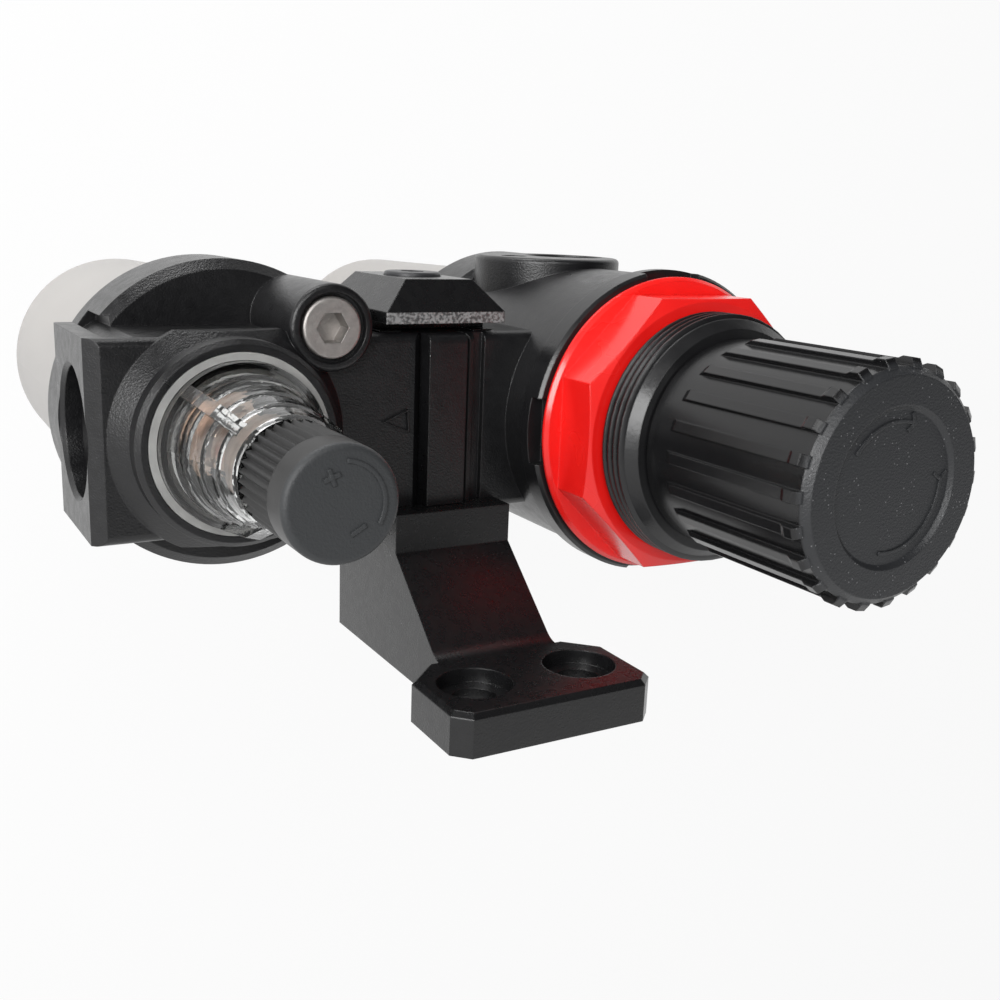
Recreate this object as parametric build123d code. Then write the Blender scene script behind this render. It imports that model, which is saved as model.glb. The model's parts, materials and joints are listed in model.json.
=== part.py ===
from build123d import *
import os

# Filter regulator and lubricator joined side by side, in millimetres. Air enters on the regulator's
# -X face and leaves on the lubricator's +X face. The knobs point to +Z, the bowls hang towards -Z,
# the gauge port faces -Y and the wall bracket faces +Y. Everything is modelled round the regulator's
# axis and the port axis, then moved so that the origin lies on the wall face, midway between the two
# bracket holes.

# Fits
seat_gap = 0.05  # between pieces that stand face to face
running_gap = 0.05  # radial, between a shaft and its bore
loose_gap = 0.3  # between curved faces that only pass each other

# Modules and the joint between them
lubricator_x = 48.0  # sight dome axis
bowl_offset = 3.2  # the lubricator's bowl axis lies this far towards the regulator
joint_x = 24.6  # middle of the spacer
spacer_width = 4.6
outlet_face_x = 61.5
inlet_face_x = -22.0
block_half_height = 10.0  # of both port blocks, along Y
block_front = 8.0
block_back = -9.2
end_chamfer = 1.3
joint_chamfer = 1.0  # at the two faces that meet the spacer
relief_groove_edge = 1.5  # a groove across the regulator's front, this far from its joint face
relief_groove_width = 1.3
relief_groove_depth = 0.7
edge_round = 1.0

# Ports, bored to the outside radius of their standard pipe threads
port_r = 6.58
port_depth = 10.5
port_mouth = 0.4
passage_r = 4.6
passage_wall = 1.2  # between the outlet passage and the valve bore
transfer_r = 5.4
transfer_depth = 1.5
gauge_port_r = 4.86
gauge_port_x = -2.2
gauge_port_z = -10.5
gauge_port_depth = 6.8
gauge_port_mouth = 0.2
gauge_pad_r = 9.2
gauge_pad_x = 1.0
gauge_pad_z = -9.5
gauge_pad_y = -17.5
gauge_pad_edge = 0.6
gauge_screw_r = 1.65
gauge_screw_x = 6.2
gauge_screw_z = -9.0
gauge_screw_depth = 5.0
gauge_channel_r = 0.8  # from the gauge port up to the piston chamber

# Regulator body
barrel_r = 16.5
barrel_top = 12.2
rim_r = 17.2
ring_r = 17.5
ring_length = 9.0
ring_edge = 0.8
regulator_ring_bottom = -24.0
piston_bore_r = 13.0
piston_chamber_floor = 8.0
outlet_chamber_r = 7.0
valve_orifice_r = 2.7
valve_seat_top = 2.6
valve_seat_bottom = 1.2
valve_bore_r = 5.0
chamber_r = 12.6
chamber_height = 1.0  # above the bowl's socket
inlet_drop_r = 3.0

# Bonnet and its nut
bonnet_flange_top = 15.45
bonnet_thread_r = 12.9
bonnet_thread_top = 26.8
bonnet_wall = 2.5
bonnet_spigot_r = 14.6
bonnet_spigot_length = 2.4
bonnet_shoulder = 1.5
tower_r = 9.2
tower_bore_r = 7.2
tower_top = 40.0
tower_cap = 2.5
rim_notch_depth = 1.5
rim_notch_width = 7.2
rim_notch_reach = 1.8
nut_flats = 29.25
nut_sides = 8
nut_flange_r = 16.55
nut_flange_top = 16.6
nut_top = 22.1
nut_bevel = 1.2

# Adjusting parts
knob_r = 11.0
knob_rib_r = 11.5
knob_ribs = 22
knob_rib_width = 1.1
knob_skirt_top = 30.2
knob_bottom = 27.0
knob_top = 49.4
knob_wall = 1.4
knob_end_wall = 3.0
knob_edge = 0.7
knob_dish_r = 7.2
knob_dish_depth = 0.4
knob_hub_r = 5.0
screw_r = 3.0
screw_thread_r = 2.6
screw_collar_r = 5.4
screw_collar_length = 1.5
screw_bottom = 17.0
drive_flats = 5.2
spring_seat_r = 6.85
spring_seat_length = 4.0
spring_seat_drop = 0.5
spring_locator_length = 1.5
seat_key_width = 2.4
seat_key_reach = 1.2
spring_wire = 1.5
spring_mean_r = 5.5
spring_turns = 5.5
piston_bottom = 9.0
piston_thickness = 3.6
piston_seal_section = 1.5

# Valve
poppet_head_r = 3.9
poppet_head_length = 1.4
poppet_seal_length = 0.7
poppet_pin_r = 1.0
poppet_stem_r = 1.2
poppet_stem_length = 9.0
guide_length = 11.0
guide_stem_depth = 4.0
guide_hole_r = 0.8
guide_hole_circle_r = 3.6
guide_holes = 6
valve_spring_wire = 0.6
valve_spring_mean_r = 2.6
valve_spring_turns = 5

# Bowls, the same shell on both modules
bowl_r_top = 14.8
bowl_r_low = 14.1
bowl_wall = 1.6
bowl_length = 50.0
bowl_corner = 9.0
bowl_neck_r = 13.4
bowl_socket_depth = 5.5
bowl_seal_section = 1.2

# Filter parts
element_r = 7.6
element_bore_r = 4.2
element_length = 20.0
stud_r = 2.0
stud_depth = 3.8
baffle_r = 10.4
baffle_thickness = 1.4
baffle_skirt = 3.0
deflector_r = 11.6
deflector_thickness = 1.3
deflector_vanes = 12
deflector_vane_height = 3.0
deflector_vane_tilt = 35.0

# Drain at the filter bowl's foot
drain_boss_r = 4.6
drain_boss_length = 5.0
drain_stem_r = 2.2
drain_stem_length = 12.5
drain_lift = 2.0  # turning the drain knob raises the stem until its seal leaves the bore
drain_outlet_r = 0.9
drain_knob_r = 6.4
drain_knob_length = 10.5
drain_knob_lobes = 8
drain_seal_section = 0.8

# Lubricator body
lubricator_ring_r = 16.9
lubricator_ring_top = -3.3
lubricator_ring_bottom = -14.0
ring_chamfer = 1.1
collar_base_r = 11.9
collar_r = 10.2
collar_flare = 1.7
collar_top = 12.0
collar_edge = 0.5
collar_half_height = 10.7
dome_pocket_r = 9.05
dome_pocket_floor = 9.4
plug_x = 37.7
plug_y = -10.8
plug_boss_r = 4.45
plug_boss_top = 9.3
plug_boss_bottom = -8.0
plug_recess_r = 3.6
plug_recess_depth = 0.8
plug_r = 3.15
plug_top = 9.2
plug_length = 6.0
plug_socket_flats = 3.0
plug_socket_depth = 2.2
fill_channel_r = 1.3
fill_channel_shift = 2.1
siphon_y = 6.6
siphon_channel_r = 1.0
siphon_socket_depth = 4.0

# Sight dome and drip control
dome_flange_r = 8.95
dome_flange_top = 11.1
dome_r = 8.2
dome_cone_r = 7.2  # from here the cone rises in rings, each a step smaller
dome_cone_z = 14.4
dome_rings = 4
dome_ring_step = 0.55
dome_top_r = 5.0
dome_top = 26.0
dome_wall = 1.3
dome_rib_count = 3
dome_rib_width = 1.4
dome_neck_r = 2.4
dome_neck_length = 4.5
dome_ring_bore_r = 8.25
dome_seal_r = 7.3
dome_seal_section = 1.2
drip_knob_r = 5.0
drip_knob_gap = 0.1
drip_knob_top = 37.0
drip_knob_grip_top = 33.5
drip_knob_edge = 0.6
drip_knob_flutes = 36
drip_knob_flute_depth = 0.45
drip_knob_wall = 2.0
needle_r = 1.2
needle_tip_z = 17.4
needle_tip_length = 2.2
drip_tube_r = 3.2
drip_tube_length = 6.2
nozzle_flange_r = 3.4
nozzle_r = 2.4
nozzle_bore_r = 0.8
nozzle_length = 5.5

# Oil pick-up
tube_r = 2.0
tube_bore_r = 1.2
pick_up_r = 3.4
pick_up_length = 7.0
pick_up_floor_gap = 2.0
pick_up_inlet_r = 0.8
pick_up_cover = 1.5
ball_r = 1.5
ball_chamber_length = 4.0
flap_thickness = 1.0
flap_orifice_r = 1.5
flap_slots = 4

# Clamp between the modules
clamp_half_width = 7.0
clamp_ledge_low = 11.06
clamp_ledge_high = 12.28
clamp_face = 15.55
clamp_half_length = 8.8
clamp_base_front = 4.0
clamp_face_half_width = 4.0
clamp_face_half_length = 6.7
lip_width = 1.9
pocket_width = 2.8
pocket_depth = 1.5
pocket_front = 6.8
wedge_gap = 0.15
clamp_screw_head_r = 3.15
clamp_screw_head = 1.2
clamp_screw_proud = 0.45
clamp_screw_r = 1.9
clamp_screw_socket_flats = 2.5
clamp_screw_socket_depth = 0.95
clamp_screw_end = 12.2
spacer_front = 9.4
joint_seal_r = 6.2
joint_seal_section = 1.0
spacer_slot_length = 6.4
spacer_slot_width = 2.6
spacer_slot_z = 3.9

# Wall bracket
bracket_half_width = 6.9
bracket_lip_top = 8.7
bracket_low = 12.88
bracket_front = 11.6
bracket_back = -3.9
bracket_slope = 1.16  # how far the arm leans forward for each millimetre towards the wall
wall_y = 25.75
foot_thickness = 4.35
foot_front = 34.6
foot_half_width = 11.2
foot_hole_spacing = 12.0
foot_hole_z = 28.1
foot_hole_r = 2.25
foot_counterbore_r = 3.75
foot_counterbore_depth = 1.5
foot_rear_chamfer = 3.3
foot_front_chamfer = 1.6
foot_bevel = 0.5
foot_fillet = 3.0

# Places that follow from the sizes above
regulator_joint_x = joint_x - spacer_width / 2
lubricator_joint_x = joint_x + spacer_width / 2
bowl_x = lubricator_x - bowl_offset
filter_socket_top = regulator_ring_bottom + bowl_socket_depth
lubricator_socket_top = lubricator_ring_bottom + bowl_socket_depth
chamber_top = filter_socket_top + chamber_height
guide_bottom = chamber_top - 1
guide_top = guide_bottom + guide_length
poppet_seal_top = valve_seat_bottom - seat_gap
poppet_head_top = poppet_seal_top - poppet_seal_length
poppet_head_bottom = poppet_head_top - poppet_head_length
piston_r = piston_bore_r - loose_gap
piston_top = piston_bottom + piston_thickness
tower_ceiling = tower_top - tower_cap
screw_collar_top = tower_ceiling - seat_gap
spring_seat_top = screw_collar_top - screw_collar_length - spring_seat_drop
spring_seat_bottom = spring_seat_top - spring_seat_length
spring_bore_r = spring_mean_r - spring_wire / 2
knob_bore_r = knob_r - knob_wall
knob_ceiling = knob_top - knob_end_wall
drive_top = knob_ceiling - loose_gap
deflector_top = chamber_top - seat_gap
element_top = deflector_top - deflector_thickness - seat_gap
element_bottom = element_top - element_length
filter_bowl_bottom = regulator_ring_bottom - bowl_length
drain_boss_bottom = filter_bowl_bottom - drain_boss_length
drain_stem_top = filter_bowl_bottom + bowl_wall
drip_knob_bottom = dome_top + drip_knob_gap
dome_ceiling = dome_top - dome_wall
neck_top = dome_top + dome_neck_length
bowl_floor = lubricator_ring_bottom - bowl_length + bowl_wall
pick_up_bottom = bowl_floor + pick_up_floor_gap
ball_chamber_floor = pick_up_bottom + pick_up_cover
ball_chamber_top = ball_chamber_floor + ball_chamber_length
siphon_top = lubricator_socket_top + siphon_socket_depth
foot_top_y = wall_y - foot_thickness
to_mount = Pos(-joint_x, -wall_y, -foot_hole_z)


def turned(*outline):
    """A body of revolution about Z from the (radius, height) points of its half section."""
    return revolve(Plane.XZ * make_face(Polyline(*outline, close=True)), Axis.Z)


def rod(radius, low, high, x=0.0, y=0.0):
    """An upright cylinder between two heights."""
    return Pos(x, y, (low + high) / 2) * Cylinder(radius, high - low)


def tube(outer, inner, low, high):
    """An upright tube between two heights."""
    return rod(outer, low, high) - rod(inner, low - 1, high + 1)


def rod_x(radius, x_low, x_high):
    """A cylinder along the port axis."""
    return Pos((x_low + x_high) / 2, 0, 0) * Rot(0, 90, 0) * Cylinder(radius, x_high - x_low)


def rod_y(radius, y_low, y_high, x=0.0, z=0.0):
    """A cylinder along Y."""
    return Pos(x, (y_low + y_high) / 2, z) * Rot(90, 0, 0) * Cylinder(radius, y_high - y_low)


def span(x_low, x_high, y_low, y_high, z_low, z_high):
    """A block between six planes."""
    middle = Pos((x_low + x_high) / 2, (y_low + y_high) / 2, (z_low + z_high) / 2)
    return middle * Box(x_high - x_low, y_high - y_low, z_high - z_low)


def prism(flats, low, high):
    """An upright hexagonal prism, measured across its flats."""
    return extrude(Plane.XY.offset(low) * RegularPolygon(flats / 2, 6, major_radius=False), high - low)


def seal_ring(middle_r, section, z):
    """A round rubber ring lying flat, section being the cord's thickness."""
    return Pos(0, 0, z) * Torus(middle_r, section / 2 - seat_gap / 2)


def coil(mean_r, wire, turns, low, high):
    """A coil spring between two faces."""
    height = high - low - wire - 2 * seat_gap
    path = Pos(0, 0, low + wire / 2 + seat_gap) * Helix(height / turns, height, mean_r)
    return sweep(Plane(path @ 0, z_dir=path % 0) * Circle(wire / 2), path=path, is_frenet=True)


def around(count, piece):
    """Equally spaced copies of a piece about Z."""
    return [Rot(0, 0, 360 * i / count) * piece for i in range(count)]


def drill(radius, depth, mouth, point):
    """A drilled hole's cutter: chamfered mouth at height 0, bore towards +Z and a drill point."""
    return turned(
        (0, -1),
        (radius + mouth, -1),
        (radius + mouth, 0),
        (radius, mouth),
        (radius, depth),
        (0, depth + point),
    )


def side_port(face_x, inwards):
    """The cutter of an air port; inwards is the direction along X into the metal."""
    return Pos(face_x, 0, 0) * Rot(0, 90 * inwards, 0) * drill(port_r, port_depth, port_mouth, 2)


def port_block(x_low, x_high, low_chamfer, high_chamfer):
    """A port block with chamfered end edges and rounded long edges."""
    block = span(x_low, x_high, -block_half_height, block_half_height, block_back, block_front)
    block = chamfer(block.edges().filter_by(Axis.Y).group_by(Axis.X)[0], low_chamfer)
    block = chamfer(block.edges().filter_by(Axis.Y).group_by(Axis.X)[-1], high_chamfer)
    return fillet(block.edges().filter_by(Axis.X), edge_round)


def clamp_pockets(face_x, inwards):
    """The sloping pockets behind a joint lip, where the clamps' wedges pull two modules together."""
    lip = face_x + inwards * lip_width
    far = lip + inwards * pocket_width
    floor = block_half_height - pocket_depth
    above = block_half_height + 1
    pockets = []
    for side in (-1, 1):
        outline = Polyline(
            (lip, side * above),
            (lip, side * floor),
            (far, side * block_half_height),
            (far, side * above),
            close=True,
        )
        low = Plane.XY.offset(block_back - 1)
        pockets.append(extrude(low * make_face(outline), pocket_front - block_back + 1))
    return pockets


def clamp_wedges(side):
    """Two wedges for the pockets on one side, -1 for the front clamp and 1 for the bracket."""
    wedges = []
    for face_x, inwards in ((regulator_joint_x, -1), (lubricator_joint_x, 1)):
        lip = face_x + inwards * (lip_width + wedge_gap)
        far = lip + inwards * (pocket_width - wedge_gap * 2)
        tip = block_half_height - pocket_depth + wedge_gap * 2
        seat = block_half_height + wedge_gap
        outline = Polyline((lip, side * seat), (lip, side * tip), (far, side * seat), close=True)
        low = Plane.XY.offset(block_back)
        wedges.append(extrude(low * make_face(outline), pocket_front - block_back - wedge_gap))
    return wedges


def joint_seal_groove(face_x, inwards):
    """The cutter of the groove for a joint seal in a module's face."""
    half = joint_seal_section / 2
    floor_x = face_x + inwards * joint_seal_section
    low_x = min(face_x, floor_x)
    high_x = max(face_x, floor_x)
    outer = rod_x(joint_seal_r + half, low_x, high_x)
    return outer - rod_x(joint_seal_r - half, low_x - 1, high_x + 1)


def regulator_body():
    """Die-cast body of the filter regulator: barrel, port block, gauge pad and bowl ring."""
    ring_top = regulator_ring_bottom + ring_length
    body = rod(barrel_r, ring_top - ring_edge, barrel_top)
    body += turned(
        (0, regulator_ring_bottom),
        (ring_r - ring_edge, regulator_ring_bottom),
        (ring_r, regulator_ring_bottom + ring_edge),
        (ring_r, ring_top - ring_edge),
        (ring_r - ring_edge, ring_top),
        (0, ring_top),
    )
    body += port_block(inlet_face_x, regulator_joint_x, end_chamfer, joint_chamfer)
    pad = rod_y(gauge_pad_r, gauge_pad_y, 0, gauge_pad_x, gauge_pad_z)
    body += fillet(pad.edges().group_by(Axis.Y)[0], gauge_pad_edge)
    gauge_mouth = Pos(gauge_port_x, gauge_pad_y, gauge_port_z) * Rot(-90, 0, 0)
    gauge_port = gauge_mouth * drill(gauge_port_r, gauge_port_depth, gauge_port_mouth, 1)
    gauge_screw_hole = rod_y(
        gauge_screw_r,
        gauge_pad_y - 1,
        gauge_pad_y + gauge_screw_depth,
        gauge_screw_x,
        gauge_screw_z,
    )
    gauge_channel_y = gauge_pad_y + gauge_port_depth - gauge_channel_r
    groove_high = regulator_joint_x - relief_groove_edge
    groove_floor = block_front - relief_groove_depth
    body -= [
        rod(piston_bore_r, piston_chamber_floor, barrel_top + 1),
        rod(bonnet_spigot_r + seat_gap, barrel_top - bonnet_spigot_length - seat_gap, barrel_top + 1),
        rod(outlet_chamber_r, valve_seat_top, piston_chamber_floor + 1),
        rod(valve_orifice_r, valve_seat_bottom - 1, valve_seat_top + 1),
        rod(valve_bore_r, chamber_top - 1, valve_seat_bottom),
        rod(chamber_r, regulator_ring_bottom - 1, chamber_top),
        rod(bowl_neck_r + seat_gap, regulator_ring_bottom - 1, filter_socket_top),
        rod(inlet_drop_r, chamber_top - 1, 0, x=inlet_face_x + port_depth),
        side_port(inlet_face_x, 1),
        rod_x(passage_r, valve_bore_r + passage_wall, regulator_joint_x + 1),
        rod_x(transfer_r, regulator_joint_x - transfer_depth, regulator_joint_x + 1),
        gauge_port,
        gauge_screw_hole,
        rod(gauge_channel_r, gauge_port_z, piston_chamber_floor + 1, gauge_port_x, gauge_channel_y),
        span(groove_high - relief_groove_width, groove_high, -rim_r, rim_r, groove_floor, block_front + 1),
        joint_seal_groove(regulator_joint_x, -1),
    ]
    body -= clamp_pockets(inlet_face_x, 1)
    body -= clamp_pockets(regulator_joint_x, -1)
    return body


def bonnet():
    """Bonnet: notched flange, threaded neck for the nut and the tower that holds the spring."""
    neck_ceiling = bonnet_thread_top - bonnet_shoulder
    piston_room = bonnet_flange_top - 1
    neck_bore_r = bonnet_thread_r - bonnet_wall
    spigot_bottom = barrel_top - bonnet_spigot_length
    seat = barrel_top + seat_gap
    body = turned(
        (piston_bore_r, spigot_bottom),
        (bonnet_spigot_r, spigot_bottom),
        (bonnet_spigot_r, seat),
        (rim_r - edge_round / 3, seat),
        (rim_r, seat + edge_round / 3),
        (rim_r, bonnet_flange_top - edge_round / 3),
        (rim_r - edge_round / 3, bonnet_flange_top),
        (bonnet_thread_r, bonnet_flange_top),
        (bonnet_thread_r, bonnet_thread_top - edge_round),
        (bonnet_thread_r - edge_round, bonnet_thread_top),
        (tower_r, bonnet_thread_top),
        (tower_r, tower_top),
        (screw_r + running_gap, tower_top),
        (screw_r + running_gap, tower_ceiling),
        (tower_bore_r, tower_ceiling),
        (tower_bore_r, neck_ceiling),
        (neck_bore_r, neck_ceiling),
        (neck_bore_r, piston_room),
        (piston_bore_r, piston_room),
    )
    key_r = spring_seat_r + seat_key_reach + loose_gap
    half_slot = seat_key_width / 2 + loose_gap / 2
    body -= span(-key_r, key_r, -half_slot, half_slot, neck_ceiling - 1, tower_ceiling)
    notch = span(
        rim_r - rim_notch_reach,
        rim_r + 1,
        -rim_notch_width / 2,
        rim_notch_width / 2,
        bonnet_flange_top - rim_notch_depth,
        bonnet_flange_top + 1,
    )
    return body - around(4, notch)


def bonnet_nut():
    """Flanged ring nut with flats all round, for panel mounting."""
    half_flats = nut_flats / 2
    seat = bonnet_flange_top + seat_gap
    outline = RegularPolygon(half_flats, nut_sides, major_radius=False, rotation=180 / nut_sides)
    flats = extrude(Plane.XY.offset(seat) * outline, nut_top - seat)
    flats &= turned(
        (0, seat),
        (rim_r, seat),
        (rim_r, nut_top - nut_bevel),
        (half_flats - nut_bevel / 4, nut_top),
        (0, nut_top),
    )
    flange = turned(
        (0, seat),
        (nut_flange_r - ring_edge / 2, seat),
        (nut_flange_r, seat + ring_edge / 2),
        (nut_flange_r, nut_flange_top - ring_edge / 2),
        (nut_flange_r - ring_edge / 2, nut_flange_top),
        (0, nut_flange_top),
    )
    return flats + flange - rod(bonnet_thread_r + running_gap, seat - 1, nut_top + 1)


def regulator_knob():
    """Pull-and-turn knob: ribbed cup with a dished end and a six-sided hub that slides on the screw."""
    body = turned(
        (knob_bore_r, knob_bottom),
        (knob_r, knob_bottom),
        (knob_r, knob_top - knob_edge),
        (knob_r - knob_edge, knob_top),
        (knob_dish_r + knob_dish_depth, knob_top),
        (knob_dish_r, knob_top - knob_dish_depth),
        (0, knob_top - knob_dish_depth),
        (0, knob_ceiling),
        (knob_bore_r, knob_ceiling),
    )
    rib_low = knob_skirt_top
    nub = knob_rib_r - knob_r
    rib_outline = Polyline(
        (knob_r - nub, rib_low),
        (knob_r, rib_low),
        (knob_rib_r, rib_low + 2 * nub),
        (knob_rib_r, knob_top - 5 * nub),
        (knob_rib_r + nub / 2, knob_top - 4 * nub),
        (knob_rib_r + nub / 2, knob_top - 2 * nub),
        (knob_r, knob_top - nub),
        (knob_r - nub, knob_top - nub),
        close=True,
    )
    rib = extrude(Plane.XZ * make_face(rib_outline), knob_rib_width / 2, both=True)
    body += around(knob_ribs, rib)
    hub_bottom = tower_top + loose_gap * 2
    hub = rod(knob_hub_r, hub_bottom, knob_ceiling)
    return body + hub - prism(drive_flats + 2 * running_gap, hub_bottom - 1, knob_ceiling)


def adjusting_screw():
    """Adjusting screw: six-sided drive, journal, collar under the tower's cap, then the thread."""
    collar_bottom = screw_collar_top - screw_collar_length
    screw = rod(screw_thread_r, screw_bottom, collar_bottom)
    screw += rod(screw_collar_r, collar_bottom, screw_collar_top)
    screw += rod(screw_r, screw_collar_top, tower_top + loose_gap)
    return screw + prism(drive_flats, tower_top + loose_gap, drive_top)


def spring_seat():
    """Travelling nut that carries the spring, held from turning by two keys in the tower's slots."""
    seat = rod(spring_seat_r, spring_seat_bottom, spring_seat_top)
    key_r = spring_seat_r + seat_key_reach
    half_key = seat_key_width / 2
    seat += span(-key_r, key_r, -half_key, half_key, spring_seat_bottom, spring_seat_top)
    locator_bottom = spring_seat_bottom - spring_locator_length
    seat += rod(spring_bore_r - loose_gap, locator_bottom, spring_seat_bottom)
    return seat - rod(screw_thread_r + running_gap, locator_bottom - 1, spring_seat_top + 1)


def regulating_spring():
    """Main spring between the travelling nut and the piston."""
    return coil(spring_mean_r, spring_wire, spring_turns, piston_top, spring_seat_bottom)


def control_piston():
    """Sensing piston with a seal groove and a spring locator."""
    groove_low = piston_bottom + (piston_thickness - piston_seal_section) / 2 - seat_gap
    groove_high = groove_low + piston_seal_section + 2 * seat_gap
    groove_r = piston_bore_r - 2 * running_gap - piston_seal_section
    locator_r = spring_bore_r - loose_gap
    return turned(
        (0, piston_bottom),
        (piston_r, piston_bottom),
        (piston_r, groove_low),
        (groove_r, groove_low),
        (groove_r, groove_high),
        (piston_r, groove_high),
        (piston_r, piston_top),
        (locator_r, piston_top),
        (locator_r, piston_top + spring_locator_length),
        (0, piston_top + spring_locator_length),
    )


def piston_seal():
    """Rubber ring in the piston's groove."""
    middle_r = piston_bore_r - 2 * running_gap - piston_seal_section / 2
    return seal_ring(middle_r, piston_seal_section, piston_bottom + piston_thickness / 2)


def valve_poppet():
    """Poppet: head, push pin up to the piston and guide stem below."""
    poppet = rod(poppet_head_r, poppet_head_bottom, poppet_head_top)
    poppet += rod(poppet_pin_r, poppet_head_top, piston_bottom - seat_gap)
    return poppet + rod(poppet_stem_r, poppet_head_bottom - poppet_stem_length, poppet_head_bottom)


def poppet_seal():
    """Rubber washer on the poppet that closes against the seat."""
    return tube(poppet_head_r, poppet_pin_r + seat_gap, poppet_head_top, poppet_seal_top)


def valve_spring():
    """Spring that closes the poppet."""
    return coil(valve_spring_mean_r, valve_spring_wire, valve_spring_turns, guide_top, poppet_head_bottom)


def valve_guide():
    """Plug in the valve bore that guides the poppet's stem and holds the filter's stud."""
    guide = rod(valve_bore_r - seat_gap, guide_bottom, guide_top)
    guide -= rod(poppet_stem_r + loose_gap, guide_top - guide_stem_depth, guide_top + 1)
    guide -= rod(stud_r + seat_gap, guide_bottom - 1, guide_bottom + stud_depth)
    air_hole = rod(guide_hole_r, guide_bottom - 1, guide_top + 1, x=guide_hole_circle_r)
    return guide - around(guide_holes, air_hole)


def deflector():
    """Swirl plate with slanted vanes that spins the incoming air."""
    plate_bottom = deflector_top - deflector_thickness
    body = tube(deflector_r, valve_bore_r + loose_gap, plate_bottom, deflector_top)
    vane = Box(deflector_r - element_r - 1, deflector_thickness, deflector_vane_height + 1)
    vane = Rot(deflector_vane_tilt, 0, 0) * vane
    vane_r = (deflector_r + element_r) / 2
    vane = Pos(vane_r, 0, plate_bottom - deflector_vane_height / 2) * vane
    return body + around(deflector_vanes, vane)


def filter_element():
    """Porous filter tube between the deflector and the baffle."""
    return tube(element_r, element_bore_r, element_bottom, element_top)


def filter_baffle():
    """Baffle that keeps the collected water still; its stud clamps the filter element."""
    top = element_bottom - seat_gap
    plate_bottom = top - baffle_thickness
    skirt_bottom = plate_bottom - baffle_skirt
    cone = turned(
        (0, top),
        (element_r, top),
        (baffle_r, skirt_bottom + baffle_thickness / 2),
        (baffle_r, skirt_bottom),
        (element_r, plate_bottom),
        (0, plate_bottom),
    )
    return cone + rod(stud_r, top, guide_bottom + stud_depth - seat_gap)


def bowl_shell(x, ring_bottom):
    """Moulded bowl: neck in the body's socket, drafted wall and rounded foot."""
    rim = ring_bottom - seat_gap
    neck_top = ring_bottom + bowl_socket_depth - bowl_seal_section - 2 * seat_gap
    foot = ring_bottom - bowl_length
    outside = turned(
        (0, neck_top),
        (bowl_neck_r, neck_top),
        (bowl_neck_r, rim),
        (bowl_r_top, rim),
        (bowl_r_low, foot),
        (0, foot),
    )
    outside = fillet(outside.edges().filter_by(GeomType.CIRCLE).group_by(Axis.Z)[0], bowl_corner)
    inside = turned(
        (0, neck_top + 1),
        (bowl_neck_r - bowl_wall, neck_top + 1),
        (bowl_neck_r - bowl_wall, rim - bowl_wall * 2),
        (bowl_r_low - bowl_wall, rim - bowl_wall * 4),
        (bowl_r_low - bowl_wall, foot + bowl_wall),
        (0, foot + bowl_wall),
    )
    inside_edges = inside.edges().filter_by(GeomType.CIRCLE).group_by(Axis.Z)[0]
    return Pos(x, 0, 0) * (outside - fillet(inside_edges, bowl_corner - bowl_wall))


def bowl_seal(x, socket_top):
    """Rubber ring between the bowl's neck and the body."""
    half = bowl_seal_section / 2
    return Pos(x, 0, 0) * seal_ring(bowl_neck_r - half, bowl_seal_section, socket_top - half - seat_gap)


def filter_bowl():
    """Filter bowl with the drain boss at its foot."""
    bowl = bowl_shell(0, regulator_ring_bottom)
    bowl += rod(drain_boss_r, drain_boss_bottom, filter_bowl_bottom + bowl_wall / 2)
    return bowl - rod(drain_stem_r + running_gap, drain_boss_bottom - 1, drain_stem_top + 1)


def drain_stem():
    """Drain screw's stem with its seal groove and outlet bore."""
    stem_bottom = drain_stem_top - drain_stem_length
    groove_high = drain_stem_top - drain_seal_section
    groove_low = groove_high - drain_seal_section - 2 * seat_gap
    groove_r = drain_stem_r - drain_seal_section
    stem = turned(
        (0, stem_bottom),
        (drain_stem_r, stem_bottom),
        (drain_stem_r, groove_low),
        (groove_r, groove_low),
        (groove_r, groove_high),
        (drain_stem_r, groove_high),
        (drain_stem_r, drain_stem_top - drain_seal_section / 4),
        (drain_stem_r - drain_seal_section / 4, drain_stem_top),
        (0, drain_stem_top),
    )
    outlet_top = groove_low - drain_outlet_r * 2
    stem -= rod(drain_outlet_r, stem_bottom - 1, outlet_top)
    return stem - rod_y(drain_outlet_r, 0, drain_stem_r + 1, 0, outlet_top)


def drain_seal():
    """Small rubber ring on the drain stem."""
    z = drain_stem_top - drain_seal_section * 1.5 - seat_gap
    return seal_ring(drain_stem_r - drain_seal_section / 2, drain_seal_section, z)


def drain_knob():
    """Lobed knob round the drain boss, with the outlet hole in its end."""
    top = drain_boss_bottom + drain_boss_length / 2
    bottom = top - drain_knob_length
    floor = drain_boss_bottom - drain_lift - loose_gap
    stem_bottom = drain_stem_top - drain_stem_length
    lobe_r = drain_knob_r / 5
    knob = rod(drain_knob_r, bottom, top)
    knob = fillet(knob.edges().group_by(Axis.Z)[0], edge_round)
    knob -= around(drain_knob_lobes, rod(lobe_r, bottom - 1, top + 1, x=drain_knob_r + lobe_r / 2))
    knob -= rod(drain_boss_r + loose_gap, floor, top + 1)
    knob -= rod(drain_stem_r + running_gap, stem_bottom - seat_gap, floor + 1)
    return knob - rod(drain_outlet_r, bottom - 1, floor)


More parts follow.
